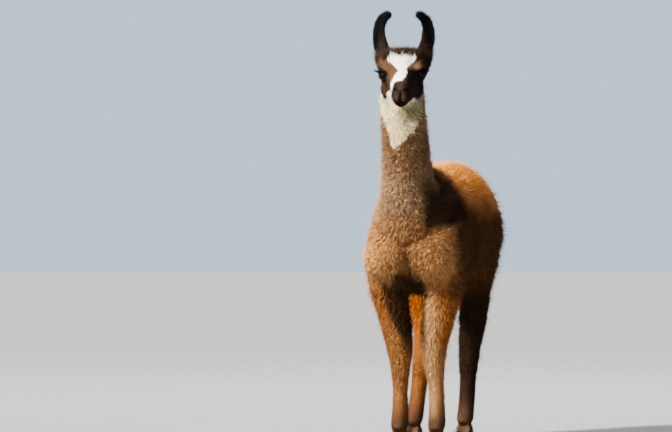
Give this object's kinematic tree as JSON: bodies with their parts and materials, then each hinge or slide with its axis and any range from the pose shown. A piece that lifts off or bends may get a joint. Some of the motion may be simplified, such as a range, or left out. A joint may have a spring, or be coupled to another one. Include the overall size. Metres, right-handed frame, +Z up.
{
  "type": "llama, standing young animal",
  "caption": "Still, life-size model of a woolly young llama standing on four feet, neck upright, head turned slightly to its left, with tall banana-shaped ears.",
  "frame": {"origin": "middle of the bounding box, on the floor", "axes": "+Z up, the animal faces -Y, +X to its left"},
  "size_m": [0.3522, 0.984, 1.4643],
  "materials": {
    "body_coat": "soft matte fleece, orange-brown, 30 to 40 mm deep",
    "neck_coat": "dense crimped matte fleece, grey-brown, with a white bib at the throat",
    "face_coat": "short matte hair, brown cheeks and brows with a white blaze",
    "ear_coat": "short soft hair, near black",
    "leg_coat": "short matte hair, brown to orange-brown",
    "eye": "wet glossy dark brown",
    "toenail": "dark horn, satin"
  },
  "bodies": {
    "root": {"head": "face_coat", "eye_left": "eye", "eye_right": "eye", "ear_left": "ear_coat", "ear_right": "ear_coat", "neck": "neck_coat", "trunk": "body_coat", "tail": "body_coat", "leg_front_left": "leg_coat", "foot_front_left": "leg_coat", "toenail_front_left_inner": "toenail", "toenail_front_left_outer": "toenail", "leg_front_right": "leg_coat", "foot_front_right": "leg_coat", "toenail_front_right_inner": "toenail", "toenail_front_right_outer": "toenail", "leg_hind_left": "leg_coat", "foot_hind_left": "leg_coat", "toenail_hind_left_inner": "toenail", "toenail_hind_left_outer": "toenail", "leg_hind_right": "leg_coat", "foot_hind_right": "leg_coat", "toenail_hind_right_inner": "toenail", "toenail_hind_right_outer": "toenail"}
  },
  "joints": []
}
